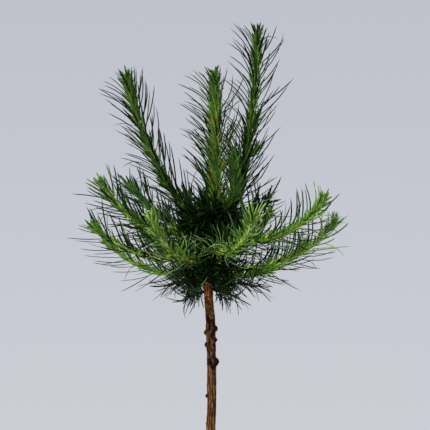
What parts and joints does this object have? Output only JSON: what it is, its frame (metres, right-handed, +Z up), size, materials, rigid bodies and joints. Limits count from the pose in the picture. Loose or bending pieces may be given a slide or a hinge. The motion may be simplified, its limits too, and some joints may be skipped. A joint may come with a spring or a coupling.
{
  "type": "potted dwarf Japanese larch",
  "caption": "Young blue dwarf Japanese larch grafted on a clear stem, with a crown of upturned needled shoots, in a round nursery pot.",
  "frame": {"origin": "centre of the pot's flat underside, on the surface that the plant stands on", "axes": "+Z up along the stem, +X to the right of the plant's showing side, +Y away from it"},
  "size_m": [0.2749, 0.2597, 0.8428],
  "materials": {
    "needles": "soft green needles, satin",
    "bough_bark": "young bark, matte",
    "stem_bark": "rough bark, matte",
    "pot_plastic": "matte black plastic",
    "potting_soil": "crumbly peat and bark"
  },
  "bodies": {
    "root": {"bough_back_left": "bough_bark", "bough_back_low": "bough_bark", "bough_back_low_left": "bough_bark", "bough_back_low_right": "bough_bark", "bough_back_right": "bough_bark", "bough_back_upper": "bough_bark", "bough_front_left": "bough_bark", "bough_front_right": "bough_bark", "bough_left_back": "bough_bark", "bough_left_lower": "bough_bark", "bough_left_upper": "bough_bark", "bough_right_back": "bough_bark", "bough_right_lower": "bough_bark", "bough_right_upper": "bough_bark", "bough_short_upright": "bough_bark", "bough_tall_back": "bough_bark", "bough_tall_left": "bough_bark", "bough_tall_middle": "bough_bark", "bough_tall_right": "bough_bark", "foliage_back_left": "needles", "foliage_back_low": "needles", "foliage_back_low_left": "needles", "foliage_back_low_right": "needles", "foliage_back_right": "needles", "foliage_back_upper": "needles", "foliage_front_left": "needles", "foliage_front_right": "needles", "foliage_left_back": "needles", "foliage_left_lower": "needles", "foliage_left_upper": "needles", "foliage_right_back": "needles", "foliage_right_lower": "needles", "foliage_right_upper": "needles", "foliage_short_upright": "needles", "foliage_tall_back": "needles", "foliage_tall_left": "needles", "foliage_tall_middle": "needles", "foliage_tall_right": "needles", "foliage_under_back_left": "needles", "foliage_under_back_right": "needles", "foliage_under_front_left": "needles", "foliage_under_front_right": "needles", "foliage_under_left": "needles", "foliage_under_right": "needles", "pot": "pot_plastic", "soil": "potting_soil", "trunk": "stem_bark"}
  },
  "joints": []
}
